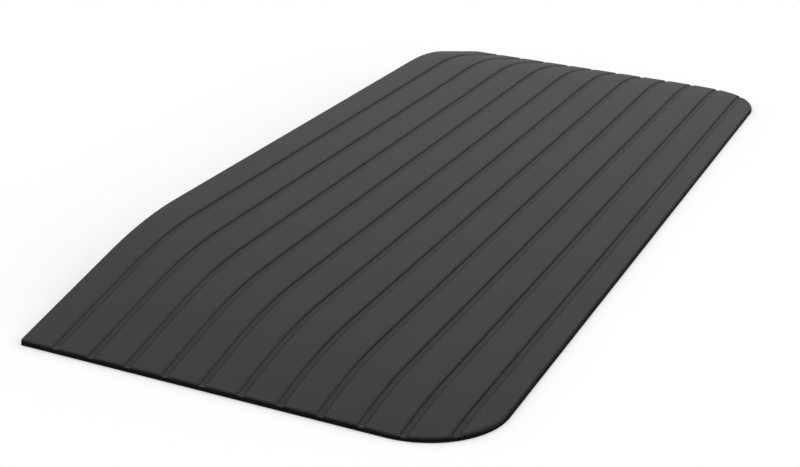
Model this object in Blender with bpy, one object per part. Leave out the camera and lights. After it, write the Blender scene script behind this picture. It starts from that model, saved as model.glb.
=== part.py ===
"""Rubber wedge ramp for a doorway step, in metres, +Z up.

The ramp lies on the floor. Its thin front edge faces -Y, its full-height face stands against the step at
+Y, and both ends slope down to the floor. The origin is the middle of the footprint, on the floor.

A grooved wear layer covers the top and turns down to the floor as a solid rim. A wedge core fills it from
below, and flat bonding strips lie in shallow recesses in the core's underside.
"""

import math
from dataclasses import dataclass, replace

import bmesh
import bpy
from mathutils import Matrix, Vector

# Overall wedge
LENGTH = 1.070
RUN = 0.406
RISE = 0.0494
FRONT_EDGE = 0.0044
END_EDGE = 0.0050
END_RUN = 0.1915
HIP_BLEND = 0.013

# Corners seen from above, and the rounding of the top edge at the front and the ends and at the door
FRONT_CORNER_RADIUS = 0.075
EDGE_ROUND = 0.0024
DOOR_ROUND = 0.0008

# Grooves along the ramp, counted from the door towards the front
GROOVE_PITCH = 0.0347
GROOVE_WIDTH = 0.0054
GROOVE_DEPTH = 0.0020
GROOVE_LIP = 0.0016
GROOVE_CORNER = 0.0004
WALL_DRAFT = math.radians(10)
FIRST_GROOVE = 0.034
LAST_GROOVE_LEAST = 0.020

# Layers
TREAD_THICKNESS = 0.006
CORE_EDGE = 0.003

# Bonding strips under the core
STRIP_WIDTH = 0.025
STRIP_THICKNESS = 0.0012
STRIP_CORNER_RADIUS = 0.003
STRIP_INSET = 0.020
STRIP_SPACING = 0.012
CROSS_STRIP_OFFSET = 0.180

# Clearance between pieces that touch
GAP = 0.0003

# How finely the curved stretches are stepped
HIP_STEPS = 8
CORNER_STEPS = 12
ROUND_STEPS = 3
LIP_STEPS = 2
LONGEST_ROW_STEP = 0.070
SHORTEST_ROW_STEP = 0.0012
LEAST_BAND = 0.020

# How far a cutter runs past the solid that it cuts
CUT_PAST = 0.010

# Two places closer together than this count as the same
NEARLY = 0.00001

FRONT = -RUN / 2
DOOR = RUN / 2
FRONT_SLOPE = (RISE - FRONT_EDGE) / RUN
END_SLOPE = (RISE - END_EDGE) / END_RUN


@dataclass(frozen=True)
class Plan:
    """An outline seen from above, alike at both ends, with round front corners and square ones at the door."""

    half_length: float
    front: float
    door: float
    front_radius: float

    def inset(self, distance, door_distance):
        """The outline drawn in by one distance at the front and the ends, and by another at the door."""
        return Plan(
            self.half_length - distance,
            self.front + distance,
            self.door - door_distance,
            self.front_radius - distance,
        )

    def reach(self, y):
        """How far the outline reaches from the middle along X, on the row at y."""
        into_corner = max(self.front + self.front_radius - y, 0.0)
        round_part = math.sqrt(max(self.front_radius**2 - into_corner**2, 0.0))
        return self.half_length - self.front_radius + round_part

    def outward(self, point):
        """The step straight out of the outline at a point on it, or one both ways at a square corner."""
        side = math.copysign(1.0, point.x)
        past_corner = abs(point.x) - (self.half_length - self.front_radius)
        into_corner = self.front + self.front_radius - point.y
        if past_corner > -NEARLY and into_corner > -NEARLY:
            away = Vector((past_corner, -into_corner, 0.0)).normalized()
            return Vector((side * away.x, away.y, 0.0))
        at_end = abs(point.x) > self.half_length - NEARLY
        at_door = point.y > self.door - NEARLY
        across = 1.0 if at_door else 0.0 if at_end else -1.0
        return Vector((side if at_end else 0.0, across, 0.0))


@dataclass(frozen=True)
class Row:
    """A line of points along the ramp: where it lies, and how far below the slope."""

    y: float
    drop: float = 0.0


def slope_height(x, y):
    """Height of the ungrooved top: the lower of the long and the end slope, blended where they meet."""
    long_slope = FRONT_EDGE + FRONT_SLOPE * (y - FRONT)
    end_slope = END_EDGE + END_SLOPE * (LENGTH / 2 - abs(x))
    blend = max(HIP_BLEND - abs(long_slope - end_slope), 0.0)
    return min(long_slope, end_slope) - blend**2 / (4 * HIP_BLEND)


def rim_width(edge_height, slope):
    """Width of the wear layer's solid rim: it ends where the core below it is as thick as CORE_EDGE."""
    return max(TREAD_THICKNESS, (TREAD_THICKNESS + GAP + CORE_EDGE - edge_height) / slope)


RAMP_PLAN = Plan(LENGTH / 2, FRONT, DOOR, FRONT_CORNER_RADIUS)
POCKET_PLAN = Plan(
    LENGTH / 2 - rim_width(END_EDGE, END_SLOPE),
    FRONT + rim_width(FRONT_EDGE, FRONT_SLOPE),
    DOOR + CUT_PAST,
    FRONT_CORNER_RADIUS,
)
CORE_PLAN = replace(POCKET_PLAN.inset(GAP, 0.0), door=DOOR)


def groove_centres():
    """Y of each groove, from the door towards the front, as many as leave the front edge its land."""
    room = RUN - FIRST_GROOVE - LAST_GROOVE_LEAST
    return [DOOR - FIRST_GROOVE - i * GROOVE_PITCH for i in range(int(room / GROOVE_PITCH) + 1)]


def groove_section():
    """Half of a groove, as distances from its middle and drops: the rounded lip, the wall and its foot."""
    steepest = math.pi / 2 - WALL_DRAFT
    start = GROOVE_WIDTH / 2 + GROOVE_LIP * math.sin(steepest)
    turns = [steepest * i / LIP_STEPS for i in range(LIP_STEPS + 1)]
    section = [(start - GROOVE_LIP * math.sin(turn), GROOVE_LIP * (1 - math.cos(turn))) for turn in turns]
    foot_drop = GROOVE_DEPTH - GROOVE_CORNER
    foot = GROOVE_WIDTH / 2 - (foot_drop - section[-1][1]) * math.tan(WALL_DRAFT)
    return section + [(foot, foot_drop), (foot - GROOVE_CORNER, GROOVE_DEPTH)]


def groove_rows():
    """The lines of both sides of every groove."""
    rows = []
    for centre in groove_centres():
        for out, drop in groove_section():
            rows += [Row(centre - out, drop), Row(centre + out, drop)]
    return rows


def near_groove(y):
    """Whether a row at y would crowd a groove or its lips."""
    reach = groove_section()[0][0] + SHORTEST_ROW_STEP
    return any(abs(y - centre) < reach for centre in groove_centres())


def quarter_turn(steps):
    """How far a quarter arc has risen after each of its steps, as shares of its radius."""
    return [1 - math.cos(math.pi / 2 * i / steps) for i in range(steps + 1)]


def rows_across(plan, grooved):
    """Every row from the front to the door: corner steps, grooves, and a row wherever the step grows long."""
    places = [plan.front + plan.front_radius * turn for turn in quarter_turn(CORNER_STEPS)] + [plan.door]
    if not grooved:
        return fill_long_steps([Row(y) for y in places])
    rows = [Row(y) for y in places if not near_groove(y)] + groove_rows()
    return fill_long_steps(sorted(rows, key=lambda row: row.y))


def fill_long_steps(rows):
    """The rows, with more of them at even steps wherever two neighbours lie far apart."""
    filled = [rows[0]]
    for row in rows[1:]:
        last = filled[-1]
        parts = math.ceil((row.y - last.y) / LONGEST_ROW_STEP)
        for i in range(1, parts):
            filled.append(Row(last.y + (row.y - last.y) * i / parts))
        filled.append(row)
    return filled


def columns_along(plan, y):
    """X of a row's points from one end to the other, closest together across the two blended hips."""
    reach = plan.reach(y)
    hip = LENGTH / 2 - (FRONT_EDGE + FRONT_SLOPE * (y - FRONT) - END_EDGE) / END_SLOPE
    half_band = HIP_BLEND / END_SLOPE
    outer = min(hip + half_band, reach - SHORTEST_ROW_STEP)
    inner = min(hip - half_band, outer - LEAST_BAND)
    band = [outer + (inner - outer) * i / HIP_STEPS for i in range(HIP_STEPS + 1)]
    outwards = [0.0, *reversed(band), reach]
    return [-x for x in reversed(outwards[1:])] + outwards


def wedge_mesh(plan, lowered, bottom, edge_round=0.0, door_round=0.0, grooved=False):
    """A closed wedge over a plan: its top follows the slopes, its sides stand upright on a flat bottom."""
    top_plan = plan.inset(edge_round, door_round)
    rows = rows_across(top_plan, grooved)
    lines = [columns_along(top_plan, row.y) for row in rows]
    across, along = len(rows) - 1, len(lines[0]) - 1
    bm = bmesh.new()
    for vert in bmesh.ops.create_grid(bm, x_segments=along, y_segments=across, size=1.0)["verts"]:
        index = round((vert.co.y + 1) / 2 * across)
        row = rows[index]
        x = lines[index][round((vert.co.x + 1) / 2 * along)]
        vert.co = Vector((x, row.y, slope_height(x, row.y) - lowered - row.drop))
    rim = [edge for edge in bm.edges if edge.is_boundary]
    if edge_round:
        starts = {vert: vert.co.copy() for edge in rim for vert in edge.verts}
        for step in range(ROUND_STEPS):
            turn = math.pi / 2 * (step + 1) / ROUND_STEPS
            rim, starts = roll_rim(bm, rim, starts, top_plan, edge_round, door_round, turn)
    rim, _ = pull_out(bm, rim)
    for vert in {vert for edge in rim for vert in edge.verts}:
        vert.co.z = bottom
    bmesh.ops.contextual_create(bm, geom=rim)
    bmesh.ops.recalc_face_normals(bm, faces=bm.faces)
    return bm


def pull_out(bm, rim):
    """Extrudes the open rim in place. Returns the new rim's edges and where each new point came from."""
    old = {vert for edge in rim for vert in edge.verts}
    made = bmesh.ops.extrude_edge_only(bm, edges=rim)["geom"]
    verts = [item for item in made if isinstance(item, bmesh.types.BMVert)]
    new_rim = [item for item in made if isinstance(item, bmesh.types.BMEdge) and item.is_boundary]
    ends = [(vert, edge.other_vert(vert)) for vert in verts for edge in vert.link_edges]
    return new_rim, {vert: source for vert, source in ends if source in old}


def roll_rim(bm, rim, starts, top_plan, edge_round, door_round, turn):
    """One step of the quarter round that turns the top over into the upright side, up to the given angle.

    The grooves run straight out through the round, so each point takes the lower of the groove and the round.
    Returns the new rim's edges and where the round starts above each of its points.
    """
    new_rim, sources = pull_out(bm, rim)
    new_starts = {vert: starts[source] for vert, source in sources.items()}
    for vert, start in new_starts.items():
        step = top_plan.outward(start)
        at_door = step.y > 0.0
        reach = Vector((step.x * edge_round, step.y * (door_round if at_door else edge_round), 0.0))
        radius = door_round if at_door and step.x == 0.0 else edge_round
        groove = slope_height(start.x, start.y) - start.z
        place = start + reach * math.sin(turn)
        place.z = slope_height(place.x, place.y) - max(groove, radius * (1 - math.cos(turn)))
        vert.co = place
    return new_rim, new_starts


def bar_mesh(bars, grow, bottom, top):
    """Flat bars with rounded corners, each given as (centre x, centre y, size along x, size along y)."""
    bm = bmesh.new()
    for x, y, along, across in bars:
        verts = bmesh.ops.create_cube(bm, size=1.0)["verts"]
        size = Vector((along + 2 * grow, across + 2 * grow, top - bottom))
        place = Matrix.Translation((x, y, (top + bottom) / 2)) @ Matrix.Diagonal((*size, 1.0))
        bmesh.ops.transform(bm, matrix=place, verts=verts)
        edges = {edge for vert in verts for edge in vert.link_edges}
        upright = [edge for edge in edges if abs(edge.verts[0].co.z - edge.verts[1].co.z) > (top - bottom) / 2]
        bmesh.ops.bevel(
            bm,
            geom=upright,
            offset=STRIP_CORNER_RADIUS + grow,
            affect="EDGES",
            segments=4,
            profile=0.5,
            material=-1,
        )
    return bm


def strip_bars():
    """Where each bonding strip lies under the core, as (centre x, centre y, size along x, size along y)."""
    half_width = STRIP_WIDTH / 2
    front_y = CORE_PLAN.front + STRIP_INSET + half_width
    rear_y = CORE_PLAN.door - STRIP_INSET - half_width
    end_x = CORE_PLAN.half_length - STRIP_INSET - half_width
    front_length = 2 * (CORE_PLAN.half_length - CORE_PLAN.front_radius)
    cross_top = rear_y - half_width - STRIP_SPACING
    cross_foot = front_y + half_width + STRIP_SPACING
    end_foot = max(cross_foot, CORE_PLAN.front + CORE_PLAN.front_radius)
    cross = ((cross_top + cross_foot) / 2, cross_top - cross_foot)
    end = ((cross_top + end_foot) / 2, cross_top - end_foot)
    return {
        "bond_strip_front": (0.0, front_y, front_length, STRIP_WIDTH),
        "bond_strip_rear": (0.0, rear_y, 2 * (CORE_PLAN.half_length - STRIP_INSET), STRIP_WIDTH),
        "bond_strip_end_left": (-end_x, end[0], STRIP_WIDTH, end[1]),
        "bond_strip_end_right": (end_x, end[0], STRIP_WIDTH, end[1]),
        "bond_strip_cross_left": (-CROSS_STRIP_OFFSET, cross[0], STRIP_WIDTH, cross[1]),
        "bond_strip_cross_right": (CROSS_STRIP_OFFSET, cross[0], STRIP_WIDTH, cross[1]),
    }


def rubber(name, colour, roughness):
    """A plain rubber finish."""
    material = bpy.data.materials.new(name)
    material.use_nodes = True
    shader = material.node_tree.nodes["Principled BSDF"]
    shader.inputs["Base Color"].default_value = (*colour, 1.0)
    shader.inputs["Roughness"].default_value = roughness
    shader.inputs["Metallic"].default_value = 0.0
    return material


def add_object(name, bm, material=None):
    """Turns a finished mesh into a named object, shaded smooth between its sharper edges."""
    mesh = bpy.data.meshes.new(name)
    bm.to_mesh(mesh)
    bm.free()
    mesh.shade_smooth()
    mesh.set_sharp_from_angle(angle=math.radians(42))
    if material is not None:
        mesh.materials.append(material)
    obj = bpy.data.objects.new(name, mesh)
    bpy.context.scene.collection.objects.link(obj)
    return obj


def cut(target, name, bm):
    """Cuts a shape out of a solid with a Boolean modifier and leaves the cutter as a wire guide."""
    cutter = add_object(name, bm)
    cutter.display_type = "WIRE"
    cutter.hide_render = True
    modifier = target.modifiers.new(name, "BOOLEAN")
    modifier.operation = "DIFFERENCE"
    modifier.solver = "EXACT"
    modifier.object = cutter


def build_tread():
    """The grooved wear layer, with a pocket below for the core."""
    tread = add_object(
        "tread_layer",
        wedge_mesh(RAMP_PLAN, 0.0, 0.0, EDGE_ROUND, DOOR_ROUND, grooved=True),
        rubber("black_tread_rubber", (0.050, 0.050, 0.050), 0.80),
    )
    cut(tread, "core_pocket", wedge_mesh(POCKET_PLAN, TREAD_THICKNESS, -CUT_PAST))


def build_core():
    """The wedge core, with a recess below for each bonding strip."""
    core = add_object(
        "wedge_core",
        wedge_mesh(CORE_PLAN, TREAD_THICKNESS + GAP, 0.0),
        rubber("granulate_rubber", (0.030, 0.030, 0.030), 0.90),
    )
    recess_top = STRIP_THICKNESS + GAP
    cut(core, "strip_recesses", bar_mesh(strip_bars().values(), GAP, -CUT_PAST, recess_top))


def build_strips():
    """The bonding strips, flush with the underside."""
    for name, bar in strip_bars().items():
        add_object(name, bar_mesh([bar], 0.0, 0.0, STRIP_THICKNESS), rubber(name, (0.18, 0.18, 0.17), 0.55))


def clear_scene():
    """Removes whatever objects the file starts with."""
    for obj in list(bpy.data.objects):
        bpy.data.objects.remove(obj, do_unlink=True)


def main():
    """Builds the ramp."""
    clear_scene()
    build_tread()
    build_core()
    build_strips()


main()
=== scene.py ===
"""Looks of a rubber wedge ramp for a doorway step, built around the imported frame. Metres, +Z up.

The ramp lies on the floor, its thin front edge towards -Y and its full-height face at +Y. A finely moulded
grooved tread stands for the frame's tread layer. The wedge core and the bonding strips stay the frame's own
solids and only get their finishes here.
"""

import logging
import math
from dataclasses import dataclass
from enum import Enum

import bmesh
import bpy
from mathutils import Matrix, Vector


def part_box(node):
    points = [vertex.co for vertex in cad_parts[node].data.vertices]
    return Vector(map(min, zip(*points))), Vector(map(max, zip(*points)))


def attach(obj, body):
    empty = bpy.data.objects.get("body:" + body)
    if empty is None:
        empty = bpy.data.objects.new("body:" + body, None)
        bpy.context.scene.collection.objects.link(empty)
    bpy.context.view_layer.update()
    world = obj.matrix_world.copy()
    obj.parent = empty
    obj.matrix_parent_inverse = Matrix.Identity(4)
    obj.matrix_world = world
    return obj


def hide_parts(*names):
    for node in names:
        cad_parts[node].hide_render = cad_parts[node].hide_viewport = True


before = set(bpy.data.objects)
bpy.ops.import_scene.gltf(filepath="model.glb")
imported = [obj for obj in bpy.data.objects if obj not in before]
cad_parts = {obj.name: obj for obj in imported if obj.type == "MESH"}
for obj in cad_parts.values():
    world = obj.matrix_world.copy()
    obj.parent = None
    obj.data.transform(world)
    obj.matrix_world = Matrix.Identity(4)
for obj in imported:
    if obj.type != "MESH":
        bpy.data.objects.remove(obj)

LOG = logging.getLogger("ramp")
MM = 0.001
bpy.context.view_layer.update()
TREAD_NODE = "tread_layer"
CORE_NODE = "wedge_core"
STRIP_PREFIX = "bond_strip_"
SHARP_ANGLE = math.radians(40)
SENSOR_WIDTH_MM = 36.0


class Slot(Enum):
    """The record's material slots."""

    TREAD = "tread_rubber"
    CORE = "granulate_rubber"
    STRIP = "butyl_strip"


def linear(code: str) -> tuple[float, float, float, float]:
    """Turns an sRGB hex code into a linear colour.

    Args:
        code: Six hex digits after a hash sign.

    Returns:
        Red, green, blue and an alpha of 1.
    """
    shares = [int(code[i : i + 2], 16) / 255 for i in (1, 3, 5)]
    red, green, blue = (c / 12.92 if c <= 0.04045 else ((c + 0.055) / 1.055) ** 2.4 for c in shares)
    return red, green, blue, 1.0


def add_node(
    tree: bpy.types.NodeTree,
    kind: str,
    settings: dict[str, object] | None = None,
    values: dict[str | int, object] | None = None,
    links: dict[str | int, bpy.types.NodeSocket] | None = None,
) -> bpy.types.Node:
    """Adds one shader node.

    Args:
        tree: The material's or world's node tree.
        kind: The node's Blender type name.
        settings: Properties of the node itself.
        values: Input sockets set to a fixed value.
        links: Input sockets fed from another node's output.

    Returns:
        The new node.
    """
    node = tree.nodes.new(kind)
    for name, value in (settings or {}).items():
        setattr(node, name, value)
    for name, value in (values or {}).items():
        node.inputs[name].default_value = value
    for name, source in (links or {}).items():
        tree.links.new(source, node.inputs[name])
    return node


def showing_rays(tree: bpy.types.NodeTree) -> bpy.types.NodeSocket:
    """Adds the nodes that pick out the rays by which the background is seen, directly or in a surface.

    Args:
        tree: The material's or world's node tree.

    Returns:
        A value of 1 for camera, glossy and transmission rays and of 0 for the others.
    """
    path = add_node(tree, "ShaderNodeLightPath").outputs
    mirrored = add_node(
        tree,
        "ShaderNodeMath",
        settings={"operation": "MAXIMUM"},
        links={0: path["Is Glossy Ray"], 1: path["Is Transmission Ray"]},
    )
    shown = add_node(
        tree,
        "ShaderNodeMath",
        settings={"operation": "MAXIMUM"},
        links={0: path["Is Camera Ray"], 1: mirrored.outputs["Value"]},
    )
    return shown.outputs["Value"]


def new_material(name: str) -> tuple[bpy.types.Material, bpy.types.NodeTree]:
    """Makes an empty node material.

    Args:
        name: The material's name.

    Returns:
        The material and its node tree, without any node.
    """
    material = bpy.data.materials.new(name)
    material.use_nodes = True
    material.node_tree.nodes.clear()
    return material, material.node_tree


@dataclass(frozen=True)
class WedgeForm:
    """The ramp's ungrooved top: a long slope to the door, a steeper one at each end, and blended hips."""

    length: float
    run: float
    rise: float = 49.4 * MM
    front_edge: float = 4.4 * MM
    end_edge: float = 5.0 * MM
    end_run: float = 191.5 * MM
    hip_blend: float = 13.0 * MM

    @property
    def front_slope(self) -> float:
        """Rise per metre of the long slope."""
        return (self.rise - self.front_edge) / self.run

    @property
    def end_slope(self) -> float:
        """Rise per metre of the slopes at the ends."""
        return (self.rise - self.end_edge) / self.end_run

    def both_slopes(self, x: float, y: float) -> tuple[float, float]:
        """Heights of the two slopes that meet at the nearer hip.

        Args:
            x: Distance along the ramp from its middle.
            y: Distance towards the door from its middle.

        Returns:
            The height of the long slope and that of the end's slope.
        """
        long_height = self.front_edge + self.front_slope * (y + self.run / 2)
        end_height = self.end_edge + self.end_slope * (self.length / 2 - abs(x))
        return long_height, end_height

    def height(self, x: float, y: float) -> float:
        """Height of the top above the floor.

        Args:
            x: Distance along the ramp from its middle.
            y: Distance towards the door from its middle.

        Returns:
            The lower of the two slopes, eased into one another where they come close.
        """
        long_height, end_height = self.both_slopes(x, y)
        blend = max(self.hip_blend - abs(long_height - end_height), 0.0)
        return min(long_height, end_height) - blend**2 / (4 * self.hip_blend)

    def on_end(self, x: float, y: float) -> float:
        """How far a place lies over the hip.

        Args:
            x: Distance along the ramp from its middle.
            y: Distance towards the door from its middle.

        Returns:
            A share that eases from 0 on the long slope to 1 on an end's slope.
        """
        long_height, end_height = self.both_slopes(x, y)
        share = min(max((long_height - end_height) / self.hip_blend, -1.0), 1.0) / 2 + 0.5
        return share**2 * (3 - 2 * share)

    def hip_band(self, y: float) -> tuple[float, float]:
        """Where a row crosses the blended hip.

        Args:
            y: The row's place across the ramp.

        Returns:
            The distances from the middle at which the blend starts and ends, the outer one first.
        """
        rise_to_row = self.front_edge + self.front_slope * (y + self.run / 2) - self.end_edge
        hip = self.length / 2 - rise_to_row / self.end_slope
        half_band = self.hip_blend / self.end_slope
        return hip + half_band, hip - half_band


@dataclass(frozen=True)
class Rounds:
    """How far the top edge's rounding reaches in at the ends, at the front and at the door."""

    end: float = 0.0
    front: float = 0.0
    door: float = 0.0

    def reach(self, outward: Vector) -> Vector:
        """How far the rounding runs out in plan, given the unit step out of the outline."""
        return Vector((outward.x * self.end, outward.y * (self.front if outward.y < 0.0 else self.door), 0.0))


@dataclass(frozen=True)
class Outline:
    """A plan outline, alike at both ends, with wide arcs at the front corners and small ones at the door."""

    half_length: float
    front: float
    door: float
    front_radii: tuple[float, float]
    door_radius: float = 0.0
    # A point this close to the end of its row counts as lying on the ramp's end.
    nearly: float = 0.01 * MM

    def inset(self, rounds: Rounds) -> "Outline":
        """Draws the outline in.

        Args:
            rounds: How far each side moves in. The front arcs keep their centres.

        Returns:
            The smaller outline, with front arcs that differ along and across the ramp.
        """
        along, across = self.front_radii
        return Outline(
            self.half_length - rounds.end,
            self.front + rounds.front,
            self.door - rounds.door,
            (along - rounds.end, across - rounds.front),
            self.door_radius,
        )

    def into_corners(self, y: float) -> tuple[float, float]:
        """How deep a row lies in the corner arcs.

        Args:
            y: The row's place across the ramp.

        Returns:
            Its depth in the front arcs and in the door's, as shares of their radii.
        """
        front = (self.front + self.front_radii[1] - y) / self.front_radii[1]
        door = (y - self.door + self.door_radius) / self.door_radius if self.door_radius else 0.0
        return max(front, 0.0), max(door, 0.0)

    def reach(self, y: float) -> float:
        """How far a row reaches before it meets the outline.

        Args:
            y: The row's place across the ramp.

        Returns:
            The distance from the ramp's middle.
        """
        front, door = self.into_corners(y)
        drawn_in = self.front_radii[0] * (1 - math.sqrt(max(1 - front**2, 0.0)))
        return self.half_length - drawn_in - self.door_radius * (1 - math.sqrt(max(1 - door**2, 0.0)))

    def outward(self, point: Vector) -> Vector:
        """The direction out of the outline.

        Args:
            point: A point on the outline.

        Returns:
            A level step of length 1.
        """
        side = math.copysign(1.0, point.x)
        front, door = self.into_corners(point.y)
        if abs(point.x) < self.reach(point.y) - self.nearly:
            return Vector((0.0, 1.0 if point.y > 0.0 else -1.0, 0.0))
        if front > 0.0:
            return Vector((side * math.sqrt(max(1 - front**2, 0.0)), -front, 0.0))
        return Vector((side * math.sqrt(max(1 - door**2, 0.0)), door, 0.0))


@dataclass(frozen=True)
class Row:
    """A line of points along the ramp: its place across it, and how far it lies below the slope."""

    y: float
    drop: float = 0.0


@dataclass(frozen=True)
class GrooveCutter:
    """The cross-section of a groove and the grooves' places, counted from the door towards the front.

    On the end slopes the grooves are shallower and keep only a share of their depth.
    """

    first: float = 34.0 * MM
    pitch: float = 34.7 * MM
    least_front_land: float = 20.0 * MM
    width: float = 5.4 * MM
    depth: float = 2.0 * MM
    end_depth_share: float = 0.66
    lip_radius: float = 1.6 * MM
    corner_radius: float = 0.4 * MM
    draft: float = math.radians(10.0)
    steps: int = 5
    land_margin: float = 0.9 * MM
    # Where the floor's own row of points lies, as a share of the way from the middle to the corner arc.
    floor_row_share: float = 0.8

    def centres(self, form: WedgeForm) -> list[float]:
        """Y of each groove's middle.

        Args:
            form: The ramp's top.

        Returns:
            The places across the ramp, from the door towards the front.
        """
        room = form.run - self.first - self.least_front_land
        door = form.run / 2
        return [door - self.first - i * self.pitch for i in range(int(room / self.pitch) + 1)]

    def half_section(self) -> list[tuple[float, float]]:
        """Half of the groove from the land inwards.

        Returns:
            Pairs of distance from the groove's middle and drop below the slope: the lip's convex arc, the
            drafted wall and the concave corner arc that runs out on the floor.
        """
        steepest = math.pi / 2 - self.draft
        start = self.width / 2 + self.lip_radius * math.sin(steepest)
        section = [(start + self.land_margin, 0.0)]
        for i in range(self.steps + 1):
            turn = steepest * i / self.steps
            section.append((start - self.lip_radius * math.sin(turn), self.lip_radius * (1 - math.cos(turn))))
        wall_top = section[-1]
        wall_foot_drop = self.depth - self.corner_radius * (1 - math.cos(steepest))
        foot_out = wall_top[0] - (wall_foot_drop - wall_top[1]) * math.tan(self.draft)
        centre_out = foot_out - self.corner_radius * math.sin(steepest)
        for i in range(self.steps + 1):
            turn = steepest * (1 - i / self.steps)
            out = centre_out + self.corner_radius * math.sin(turn)
            section.append((out, self.depth - self.corner_radius * (1 - math.cos(turn))))
        section.append((centre_out * self.floor_row_share, self.depth))
        return section

    def rows(self, form: WedgeForm) -> list[Row]:
        """Every row of every groove.

        Args:
            form: The ramp's top.

        Returns:
            The rows in order from the front to the door.
        """
        half = self.half_section()
        found = []
        for centre in self.centres(form):
            found += [Row(centre - out, drop) for out, drop in half]
            found += [Row(centre + out, drop) for out, drop in half]
        return sorted(found, key=lambda row: row.y)

    def half_span(self) -> float:
        """Half the width that a groove takes up with its lips and margins."""
        return self.half_section()[0][0]


def quarter_turn(steps: int) -> list[float]:
    """How far a quarter arc has risen after each of its steps, as shares of its radius."""
    return [1 - math.cos(math.pi / 2 * i / steps) for i in range(steps + 1)]


def smooth(mesh: bpy.types.Mesh) -> None:
    """Shades a mesh smooth and keeps its sharp edges."""
    mesh.shade_smooth()
    mesh.set_sharp_from_angle(angle=SHARP_ANGLE)


def finished_object(name: str, bm: bmesh.types.BMesh) -> bpy.types.Object:
    """Turns a bmesh into an object at the origin.

    Args:
        name: The object's name.
        bm: The finished mesh, which is freed.

    Returns:
        The new object, linked to the scene.
    """
    mesh = bpy.data.meshes.new(name)
    bm.to_mesh(mesh)
    bm.free()
    smooth(mesh)
    obj = bpy.data.objects.new(name, mesh)
    bpy.context.scene.collection.objects.link(obj)
    return obj


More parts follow.
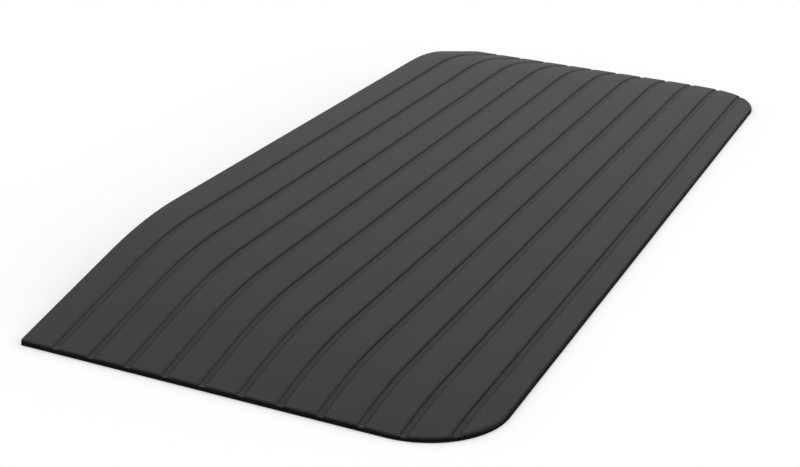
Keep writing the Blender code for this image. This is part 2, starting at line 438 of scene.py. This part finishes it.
@dataclass(frozen=True)
class WedgeSolid:
    """Builds a closed wedge over an outline: a top that follows the slopes, upright sides and a flat bottom.

    The top is a grid. Its rows run along the ramp and are closest at the grooves and the corner arcs. Its
    columns are closest across the two hips.
    """

    form: WedgeForm
    outline: Outline
    lowered: float = 0.0
    bottom: float = 0.0
    rounds: Rounds = Rounds()
    grooves: GrooveCutter | None = None
    hip_steps: int = 36
    corner_steps: int = 36
    door_corner_steps: int = 5
    round_steps: int = 6
    longest_row_step: float = 60.0 * MM
    least_row_step: float = 0.5 * MM
    least_hip_band: float = 20.0 * MM
    end_margin: float = 0.9 * MM

    def rows(self, top: Outline) -> list[Row]:
        """All rows of the top, from its front to its door side.

        Args:
            top: The outline of the top, without its rounded edge.

        Returns:
            The rows: corner steps, groove sections and fillers on long stretches.
        """
        places = [top.front + top.front_radii[1] * turn for turn in quarter_turn(self.corner_steps)]
        places += [top.door - top.door_radius * turn for turn in quarter_turn(self.door_corner_steps)]
        if self.grooves is None:
            return self.filled([Row(y) for y in sorted(set(places))])
        places += [top.front + self.end_margin, top.door - self.end_margin]
        span = self.grooves.half_span() + self.least_row_step
        centres = self.grooves.centres(self.form)
        clear = [y for y in places if all(abs(y - centre) > span for centre in centres)]
        rows = {y: Row(y) for y in clear}
        rows.update({row.y: row for row in self.grooves.rows(self.form)})
        return self.filled([rows[y] for y in sorted(rows)])

    def filled(self, rows: list[Row]) -> list[Row]:
        """Adds rows at even steps wherever two neighbours lie far apart.

        Args:
            rows: The rows in order.

        Returns:
            The given rows and the new ones, in order.
        """
        filled = [rows[0]]
        for row in rows[1:]:
            last = filled[-1]
            parts = math.ceil((row.y - last.y) / self.longest_row_step)
            filled += [Row(last.y + (row.y - last.y) * i / parts) for i in range(1, parts)]
            filled.append(row)
        return filled

    def columns(self, top: Outline, y: float) -> list[float]:
        """The places of a row's points, closest together across the two hips.

        Args:
            top: The outline of the top, without its rounded edge.
            y: The row's place across the ramp.

        Returns:
            X of each point, from one end to the other.
        """
        reach = top.reach(y)
        band_outer, band_inner = self.form.hip_band(y)
        outer = min(band_outer, reach - 2 * self.end_margin)
        inner = min(band_inner, outer - self.least_hip_band)
        band = [outer + (inner - outer) * i / self.hip_steps for i in range(self.hip_steps + 1)]
        out = [0.0, *reversed(band), reach - self.end_margin, reach]
        return [-x for x in reversed(out[1:])] + out

    def depth_share(self, x: float, y: float) -> float:
        """How much of their depth the grooves keep at a place.

        Args:
            x: Distance along the ramp from its middle.
            y: Distance towards the door from its middle.

        Returns:
            A share of 1 on the long slope and less on the ends, or 0 where there are no grooves.
        """
        if self.grooves is None:
            return 0.0
        return 1 - (1 - self.grooves.end_depth_share) * self.form.on_end(x, y)

    def build(self) -> bmesh.types.BMesh:
        """Makes the closed wedge.

        Returns:
            A bmesh of one closed body with its faces pointing out.
        """
        top = self.outline.inset(self.rounds)
        rows = self.rows(top)
        lines = [self.columns(top, row.y) for row in rows]
        bm = bmesh.new()
        across, along = len(rows) - 1, len(lines[0]) - 1
        # The new grid's sides run from -1 to 1.
        for vert in bmesh.ops.create_grid(bm, x_segments=along, y_segments=across, size=1.0)["verts"]:
            place = round((vert.co.y + 1) / 2 * across)
            row = rows[place]
            x = lines[place][round((vert.co.x + 1) / 2 * along)]
            height = self.form.height(x, row.y) - self.lowered
            vert.co = Vector((x, row.y, height - row.drop * self.depth_share(x, row.y)))
        rim = [edge for edge in bm.edges if edge.is_boundary]
        if self.rounds.end:
            starts = {vert: vert.co.copy() for edge in rim for vert in edge.verts}
            for step in range(self.round_steps):
                rim, starts = self.roll(bm, rim, starts, top, math.pi / 2 * (step + 1) / self.round_steps)
        rim, _ = self.pull(bm, rim)
        for vert in {vert for edge in rim for vert in edge.verts}:
            vert.co.z = self.bottom
        bmesh.ops.contextual_create(bm, geom=rim)
        bmesh.ops.recalc_face_normals(bm, faces=bm.faces)
        return bm

    def pull(
        self, bm: bmesh.types.BMesh, rim: list[bmesh.types.BMEdge]
    ) -> tuple[list[bmesh.types.BMEdge], dict[bmesh.types.BMVert, bmesh.types.BMVert]]:
        """Extrudes the open rim in place.

        Args:
            bm: The mesh.
            rim: Its open edges.

        Returns:
            The new open edges, and the point that each new point was pulled from.
        """
        old = {vert for edge in rim for vert in edge.verts}
        made = bmesh.ops.extrude_edge_only(bm, edges=rim)["geom"]
        fresh = [item for item in made if isinstance(item, bmesh.types.BMVert)]
        edges = [item for item in made if isinstance(item, bmesh.types.BMEdge) and item.is_boundary]
        source = {}
        for vert in fresh:
            neighbours = [edge.other_vert(vert) for edge in vert.link_edges]
            source[vert] = next(other for other in neighbours if other in old)
        return edges, source

    def roll(
        self,
        bm: bmesh.types.BMesh,
        rim: list[bmesh.types.BMEdge],
        starts: dict[bmesh.types.BMVert, Vector],
        top: Outline,
        turn: float,
    ) -> tuple[list[bmesh.types.BMEdge], dict[bmesh.types.BMVert, Vector]]:
        """One step of the quarter round that turns the top over into the upright side.

        The grooves run straight out through the round, so each point takes the lower of groove and round.

        Args:
            bm: The mesh.
            rim: Its open edges.
            starts: Where the round starts above each point of the rim.
            top: The outline of the top, where the round starts.
            turn: The angle that the round has reached after this step.

        Returns:
            The new open edges, and where the round starts above each of their points.
        """
        new_rim, source = self.pull(bm, rim)
        new_starts = {vert: starts[old] for vert, old in source.items()}
        for vert, start in new_starts.items():
            reach = self.rounds.reach(top.outward(start))
            place = start + reach * math.sin(turn)
            groove = self.form.height(start.x, start.y) - start.z
            place.z = self.form.height(place.x, place.y) - max(groove, reach.length * (1 - math.cos(turn)))
            vert.co = place
        return new_rim, new_starts


@dataclass(frozen=True)
class MouldedTreadRubber:
    """Rubber filled with carbon black, compression moulded in a steel mould with a blasted face.

    It gives the eye one matt dark grey without a highlight, with a thin grey bloom on the lands. Shade is
    painted into its colour: darker bands in and beside the grooves, darkest on their front lips, and a darker
    band along the ramp's front edge.
    """

    form: WedgeForm
    grooves: GrooveCutter
    colour: str = "#494949"
    cloud_colour: str = "#4b4b4b"
    # Rubber's usual index, and the roughness of a blasted face. The level of its gloss was then matched. It
    # is far below the usual 0.5, because the lands show no highlight and keep one grey along the ramp.
    ior: float = 1.52
    roughness: float = 0.8
    gloss_level: float = 0.015
    # The pits of a blasted mould are a few tenths of a millimetre wide at most. That is too fine to show, so
    # they are drawn at 0.7 mm.
    grain_mm: float = 0.7
    grain_depth: float = 0.1 * MM
    grain_strength: float = 0.25
    # The bloom is uneven over about the width of two lands.
    cloud_mm: float = 60.0
    # Painted shade in and beside each groove: what is left of the land's brightness, at distances from a
    # groove's middle that grow towards the front.
    groove_shade_shares: tuple[tuple[float, float], ...] = (
        (-5.6 * MM, 1.0),
        (-4.4 * MM, 0.88),
        (-3.6 * MM, 0.87),
        (-2.8 * MM, 0.97),
        (-2.0 * MM, 0.92),
        (-1.2 * MM, 0.8),
        (-0.3 * MM, 0.86),
        (0.6 * MM, 0.91),
        (2.0 * MM, 0.68),
        (3.1 * MM, 0.5),
        (4.2 * MM, 1.0),
    )
    # The grooves' painted shade fades out before each end and towards the floor, so the upright end faces and
    # the underside stay plain.
    end_fade: tuple[float, float] = (3.2 * MM, 1.6 * MM)
    floor_fade: tuple[float, float] = (1.2 * MM, 0.2 * MM)
    # Painted shade along the front edge: what is left of the brightness there, and how far in from the edge
    # it reaches.
    front_shade_share: float = 0.5
    front_shade_band: tuple[float, float] = (0.2 * MM, 3.0 * MM)

    def painted_groove_shade(
        self, tree: bpy.types.NodeTree, across: bpy.types.NodeSocket
    ) -> bpy.types.NodeSocket:
        """Adds the nodes that repeat the painted shade of one groove at every groove.

        Args:
            tree: The material's node tree.
            across: Object Y.

        Returns:
            A grey level of 1 on the lands and less in and near the grooves.
        """
        pitch = self.grooves.pitch
        door = self.form.run / 2
        # Each groove lies half way along its stretch of one pitch.
        middle = 0.5
        count = add_node(
            tree,
            "ShaderNodeMath",
            settings={"operation": "MULTIPLY_ADD"},
            values={1: -1 / pitch, 2: (door - self.grooves.first) / pitch + middle},
            links={0: across},
        )
        past_land = add_node(
            tree,
            "ShaderNodeMath",
            settings={"operation": "MAXIMUM"},
            values={1: 0.0},
            links={0: count.outputs["Value"]},
        )
        phase = add_node(
            tree,
            "ShaderNodeMath",
            settings={"operation": "FRACT"},
            links={0: past_land.outputs["Value"]},
        )
        ramp = add_node(tree, "ShaderNodeValToRGB", links={"Fac": phase.outputs["Value"]})
        elements = ramp.color_ramp.elements
        elements.remove(elements[1])
        for i, (out, share) in enumerate(self.groove_shade_shares):
            element = elements[0] if i == 0 else elements.new(middle + out / pitch)
            element.position = middle + out / pitch
            element.color = (share, share, share, 1.0)
        return ramp.outputs["Color"]

    def painted_shade(self, tree: bpy.types.NodeTree, place: bpy.types.NodeSocket) -> bpy.types.NodeSocket:
        """Adds the nodes of the painted shade: how much of the land's brightness is left at a place, in and
        beside the grooves and along the front edge.

        Args:
            tree: The material's node tree.
            place: The Object coordinates.

        Returns:
            A grey level of 1 on the lands.
        """
        axes = add_node(tree, "ShaderNodeSeparateXYZ", links={"Vector": place}).outputs
        half_length = self.form.length / 2
        front = -self.form.run / 2
        from_middle = add_node(
            tree, "ShaderNodeMath", settings={"operation": "ABSOLUTE"}, links={0: axes["X"]}
        )
        near_end = add_node(
            tree,
            "ShaderNodeMapRange",
            settings={"interpolation_type": "SMOOTHSTEP"},
            values={"From Min": half_length - self.end_fade[0], "From Max": half_length - self.end_fade[1]},
            links={"Value": from_middle.outputs["Value"]},
        )
        near_floor = add_node(
            tree,
            "ShaderNodeMapRange",
            settings={"interpolation_type": "SMOOTHSTEP"},
            values={
                "From Min": self.floor_fade[1],
                "From Max": self.floor_fade[0],
                "To Min": 1.0,
                "To Max": 0.0,
            },
            links={"Value": axes["Z"]},
        )
        plain = add_node(
            tree,
            "ShaderNodeMath",
            settings={"operation": "MAXIMUM"},
            links={0: near_end.outputs["Result"], 1: near_floor.outputs["Result"]},
        )
        # Painted shade in and beside the grooves, faded out at the ends and near the floor.
        groove_shaded = add_node(
            tree,
            "ShaderNodeMix",
            settings={"data_type": "RGBA"},
            values={"B": (1.0, 1.0, 1.0, 1.0)},
            links={"Factor": plain.outputs["Value"], "A": self.painted_groove_shade(tree, axes["Y"])},
        )
        # Painted shade along the ramp's front edge.
        front_shaded = add_node(
            tree,
            "ShaderNodeMapRange",
            settings={"interpolation_type": "SMOOTHSTEP"},
            values={
                "From Min": front + self.front_shade_band[0],
                "From Max": front + self.front_shade_band[1],
                "To Min": self.front_shade_share,
            },
            links={"Value": axes["Y"]},
        )
        left = add_node(
            tree,
            "ShaderNodeMath",
            settings={"operation": "MULTIPLY"},
            links={0: groove_shaded.outputs["Result"], 1: front_shaded.outputs["Result"]},
        )
        return left.outputs["Value"]

    def material(self) -> bpy.types.Material:
        """Builds the node material.

        Returns:
            The finished material.
        """
        material, tree = new_material("moulded_tread_rubber")
        place = add_node(tree, "ShaderNodeTexCoord").outputs["Object"]
        cloud = add_node(
            tree,
            "ShaderNodeTexNoise",
            values={"Scale": 1 / (self.cloud_mm * MM), "Detail": 4.0},
            links={"Vector": place},
        )
        colour = add_node(
            tree,
            "ShaderNodeMix",
            settings={"data_type": "RGBA"},
            values={"A": linear(self.colour), "B": linear(self.cloud_colour)},
            links={"Factor": cloud.outputs["Fac"]},
        )
        # The painted shade darkens the rubber's colour.
        shaded_colour = add_node(
            tree,
            "ShaderNodeMix",
            settings={"data_type": "RGBA", "blend_type": "MULTIPLY"},
            values={"Factor": 1.0},
            links={"A": colour.outputs["Result"], "B": self.painted_shade(tree, place)},
        )
        grain = add_node(
            tree,
            "ShaderNodeTexNoise",
            values={"Scale": 1 / (self.grain_mm * MM), "Detail": 3.0},
            links={"Vector": place},
        )
        bump = add_node(
            tree,
            "ShaderNodeBump",
            values={"Strength": self.grain_strength, "Distance": self.grain_depth},
            links={"Height": grain.outputs["Fac"]},
        )
        shader = add_node(
            tree,
            "ShaderNodeBsdfPrincipled",
            values={
                "Roughness": self.roughness,
                "IOR": self.ior,
                "Specular IOR Level": self.gloss_level,
            },
            links={"Base Color": shaded_colour.outputs["Result"], "Normal": bump.outputs["Normal"]},
        )
        add_node(tree, "ShaderNodeOutputMaterial", links={"Surface": shader.outputs["BSDF"]})
        return material


@dataclass(frozen=True)
class GranulateRubber:
    """Rubber granulate, pressed together with a polyurethane binder.

    It gives the eye packed grains in several near-blacks, with pits between them and hardly any gloss.
    """

    dark: str = "#1c1c1c"
    light: str = "#343434"
    # Such granulate is usually sieved to between 1 and 3 mm.
    grain_mm: float = 2.2
    pit_depth: float = 0.3 * MM
    pit_strength: float = 0.8
    # Polyurethane's usual index, and a roughness above that of a moulded face.
    ior: float = 1.5
    roughness: float = 0.85

    def material(self) -> bpy.types.Material:
        """Builds the node material.

        Returns:
            The finished material.
        """
        material, tree = new_material("pressed_granulate")
        place = add_node(tree, "ShaderNodeTexCoord").outputs["Object"]
        cells = add_node(
            tree,
            "ShaderNodeTexVoronoi",
            values={"Scale": 1 / (self.grain_mm * MM)},
            links={"Vector": place},
        )
        colour = add_node(
            tree,
            "ShaderNodeMix",
            settings={"data_type": "RGBA"},
            values={"A": linear(self.dark), "B": linear(self.light)},
            links={"Factor": cells.outputs["Color"]},
        )
        bump = add_node(
            tree,
            "ShaderNodeBump",
            settings={"invert": True},
            values={"Strength": self.pit_strength, "Distance": self.pit_depth},
            links={"Height": cells.outputs["Distance"]},
        )
        shader = add_node(
            tree,
            "ShaderNodeBsdfPrincipled",
            values={"Roughness": self.roughness, "IOR": self.ior},
            links={"Base Color": colour.outputs["Result"], "Normal": bump.outputs["Normal"]},
        )
        add_node(tree, "ShaderNodeOutputMaterial", links={"Surface": shader.outputs["BSDF"]})
        return material


@dataclass(frozen=True)
class ButylTape:
    """Butyl mounting tape, calendered between rollers.

    It gives the eye a smooth grey with a soft sheen that wavers a little.
    """

    colour: str = "#757572"
    # The shallow waves that rollers leave, taken as 6 mm long.
    wave_mm: float = 6.0
    wave_depth: float = 0.2 * MM
    wave_strength: float = 0.3
    # Butyl's usual index, and the roughness of a rolled face.
    ior: float = 1.51
    roughness: float = 0.4

    def material(self) -> bpy.types.Material:
        """Builds the node material.

        Returns:
            The finished material.
        """
        material, tree = new_material("calendered_butyl")
        place = add_node(tree, "ShaderNodeTexCoord").outputs["Object"]
        waves = add_node(
            tree,
            "ShaderNodeTexNoise",
            values={"Scale": 1 / (self.wave_mm * MM), "Detail": 2.0},
            links={"Vector": place},
        )
        bump = add_node(
            tree,
            "ShaderNodeBump",
            values={"Strength": self.wave_strength, "Distance": self.wave_depth},
            links={"Height": waves.outputs["Fac"]},
        )
        shader = add_node(
            tree,
            "ShaderNodeBsdfPrincipled",
            values={"Base Color": linear(self.colour), "Roughness": self.roughness, "IOR": self.ior},
            links={"Normal": bump.outputs["Normal"]},
        )
        add_node(tree, "ShaderNodeOutputMaterial", links={"Surface": shader.outputs["BSDF"]})
        return material


@dataclass
class TreadLayer:
    """The grooved wear layer with its solid rim, moulded over a pocket that the core fills."""

    form: WedgeForm
    grooves: GrooveCutter = GrooveCutter()
    front_corner_radius: float = 75.0 * MM
    door_corner_radius: float = 0.2 * MM
    rounds: Rounds = Rounds(end=2.0 * MM, front=3.4 * MM, door=1.3 * MM)
    thickness: float = 6.0 * MM
    bond_line: float = 0.3 * MM
    cut_past: float = 10.0 * MM

    def outline(self) -> Outline:
        """The ramp's outline on the floor.

        Returns:
            The outline, with all its corner arcs.
        """
        half_run = self.form.run / 2
        radii = (self.front_corner_radius, self.front_corner_radius)
        return Outline(self.form.length / 2, -half_run, half_run, radii, self.door_corner_radius)

    def pocket_outline(self) -> Outline:
        """The outline of the pocket.

        Returns:
            The core's box let out by the bond line, and open at the door.
        """
        low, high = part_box(CORE_NODE)
        radii = (self.front_corner_radius, self.front_corner_radius)
        return Outline(high.x + self.bond_line, low.y - self.bond_line, high.y + self.cut_past, radii)

    def build(self) -> bpy.types.Object:
        """Makes the tread, hollows it for the core and dresses it.

        Returns:
            The tread's object.
        """
        solid = WedgeSolid(self.form, self.outline(), rounds=self.rounds, grooves=self.grooves)
        tread = finished_object("tread_moulding", solid.build())
        pocket = WedgeSolid(self.form, self.pocket_outline(), lowered=self.thickness, bottom=-self.cut_past)
        cutter = finished_object("pocket_cutter", pocket.build())
        self.hollow(tread, cutter)
        tread.data.materials.append(MouldedTreadRubber(self.form, self.grooves).material())
        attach(tread, "root")
        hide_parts(TREAD_NODE)
        LOG.info("%s: %d faces, slot %s", tread.name, len(tread.data.polygons), Slot.TREAD.value)
        return tread

    def hollow(self, tread: bpy.types.Object, cutter: bpy.types.Object) -> None:
        """Cuts the pocket out of the tread and removes the cutter.

        Args:
            tread: The closed wedge.
            cutter: The pocket's solid.
        """
        modifier = tread.modifiers.new("pocket", "BOOLEAN")
        modifier.operation = "DIFFERENCE"
        modifier.solver = "EXACT"
        modifier.object = cutter
        graph = bpy.context.evaluated_depsgraph_get()
        mesh = bpy.data.meshes.new_from_object(tread.evaluated_get(graph))
        tread.modifiers.clear()
        plain = tread.data
        tread.data = mesh
        bpy.data.meshes.remove(plain)
        bpy.data.objects.remove(cutter, do_unlink=True)
        smooth(mesh)


@dataclass
class WedgeCore:
    """The load-carrying core, the frame's own solid in pressed granulate."""

    finish: GranulateRubber = GranulateRubber()

    def dress(self) -> bpy.types.Object:
        """Gives the core its finish.

        Returns:
            The core's object.
        """
        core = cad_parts[CORE_NODE]
        core.data.materials.clear()
        core.data.materials.append(self.finish.material())
        LOG.info("%s: dressed, slot %s", core.name, Slot.CORE.value)
        return core


@dataclass
class BondStrips:
    """The flat butyl strips in the underside, the frame's own solids."""

    finish: ButylTape = ButylTape()

    def dress(self) -> list[bpy.types.Object]:
        """Gives every strip the tape's finish.

        Returns:
            The strips' objects.
        """
        material = self.finish.material()
        strips = [obj for name, obj in sorted(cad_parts.items()) if name.startswith(STRIP_PREFIX)]
        for strip in strips:
            strip.data.materials.clear()
            strip.data.materials.append(material)
            LOG.info("%s: dressed, slot %s", strip.name, Slot.STRIP.value)
        return strips


@dataclass
class Studio:
    """The camera, the white floor, and the soft sky and lamp."""

    camera_place: tuple[float, float, float] = (-1.49685, -0.52878, 0.58344)
    camera_heading_deg: float = 22.350
    camera_dip_deg: float = 21.793
    camera_roll_deg: float = 2.811
    lens_mm: float = 70.342
    floor_size: float = 8.0
    # The floor lies a hair under the ramp's flat underside.
    floor_drop: float = 0.05 * MM
    floor_bounce: float = 0.1
    # How far the floor darkens where the ramp hides the sky, and how near the ramp has to be for that.
    shade_depth: float = 0.93
    shade_reach: float = 0.25
    shade_samples: int = 16
    # The sky's light on the ramp, and the white that it shows as.
    sky_strength: float = 0.11
    white_strength: float = 1.0
    lamp_size: float = 1.6
    lamp_watts: float = 375.0
    lamp_place: tuple[float, float, float] = (0.62, 0.5, 4.14)
    lamp_aim: tuple[float, float, float] = (5.95, 2.22, -0.02)

    def build(self) -> None:
        """Adds the camera, the floor, the sky and the lamp."""
        self.add_camera()
        self.add_floor()
        self.add_world()
        self.add_lamp()

    def add_camera(self) -> None:
        """Places the camera at the photograph's viewing angle."""
        heading = math.radians(self.camera_heading_deg)
        dip = math.radians(self.camera_dip_deg)
        roll = math.radians(self.camera_roll_deg)
        forward = Vector(
            (math.cos(dip) * math.cos(heading), math.cos(dip) * math.sin(heading), -math.sin(dip))
        )
        level = Vector((math.sin(heading), -math.cos(heading), 0.0))
        right = level * math.cos(roll) + level.cross(forward) * math.sin(roll)
        up = right.cross(forward)
        data = bpy.data.cameras.new("camera")
        data.lens = self.lens_mm
        data.sensor_width = SENSOR_WIDTH_MM
        camera = bpy.data.objects.new("camera", data)
        turn = Matrix((right, up, -forward)).transposed()
        camera.matrix_world = Matrix.Translation(self.camera_place) @ turn.to_4x4()
        bpy.context.scene.collection.objects.link(camera)
        bpy.context.scene.camera = camera

    def add_floor(self) -> None:
        """Adds the floor: white, with the soft shade of an even sky wherever the ramp hides a part of it."""
        bm = bmesh.new()
        bmesh.ops.create_grid(bm, x_segments=1, y_segments=1, size=self.floor_size / 2)
        bmesh.ops.translate(bm, verts=bm.verts, vec=(0.0, 0.0, -self.floor_drop))
        floor = finished_object("floor", bm)
        material, tree = new_material("studio_floor")
        sky_seen = add_node(
            tree,
            "ShaderNodeAmbientOcclusion",
            settings={"samples": self.shade_samples},
            values={"Distance": self.shade_reach},
        )
        level = add_node(
            tree,
            "ShaderNodeMath",
            settings={"operation": "MULTIPLY_ADD"},
            values={1: self.shade_depth, 2: 1 - self.shade_depth},
            links={0: sky_seen.outputs["AO"]},
        )
        shown = add_node(tree, "ShaderNodeEmission", links={"Strength": level.outputs["Value"]})
        bounce = add_node(
            tree,
            "ShaderNodeBsdfDiffuse",
            values={"Color": (self.floor_bounce, self.floor_bounce, self.floor_bounce, 1.0)},
        )
        mixed = add_node(
            tree,
            "ShaderNodeMixShader",
            links={0: showing_rays(tree), 1: bounce.outputs["BSDF"], 2: shown.outputs["Emission"]},
        )
        add_node(tree, "ShaderNodeOutputMaterial", links={"Surface": mixed.outputs["Shader"]})
        floor.data.materials.append(material)

    def add_world(self) -> None:
        """Adds a soft sky that shows as plain white."""
        world = bpy.data.worlds.new("studio")
        world.use_nodes = True
        tree = world.node_tree
        tree.nodes.clear()
        white = (1.0, 1.0, 1.0, 1.0)
        lighting = add_node(
            tree, "ShaderNodeBackground", values={"Color": white, "Strength": self.sky_strength}
        )
        shown = add_node(
            tree, "ShaderNodeBackground", values={"Color": white, "Strength": self.white_strength}
        )
        mixed = add_node(
            tree,
            "ShaderNodeMixShader",
            links={0: showing_rays(tree), 1: lighting.outputs["Background"], 2: shown.outputs["Background"]},
        )
        add_node(tree, "ShaderNodeOutputWorld", links={"Surface": mixed.outputs["Shader"]})
        bpy.context.scene.world = world

    def add_lamp(self) -> None:
        """Adds one broad soft lamp high over the far end, aimed at the floor well past it."""
        data = bpy.data.lights.new("softbox", "AREA")
        data.shape = "SQUARE"
        data.size = self.lamp_size
        data.energy = self.lamp_watts
        lamp = bpy.data.objects.new("softbox", data)
        aim = Vector(self.lamp_aim) - Vector(self.lamp_place)
        turn = aim.to_track_quat("-Z", "Y").to_matrix()
        lamp.matrix_world = Matrix.Translation(self.lamp_place) @ turn.to_4x4()
        bpy.context.scene.collection.objects.link(lamp)


def main() -> None:
    """Builds the ramp's looks and the studio round it."""
    logging.basicConfig(level=logging.INFO, format="%(name)s: %(message)s")
    bpy.context.scene.view_settings.view_transform = "Standard"
    low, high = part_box(TREAD_NODE)
    form = WedgeForm(length=high.x - low.x, run=high.y - low.y)
    TreadLayer(form).build()
    WedgeCore().dress()
    BondStrips().dress()
    Studio().build()


if __name__ == "__main__":
    main()
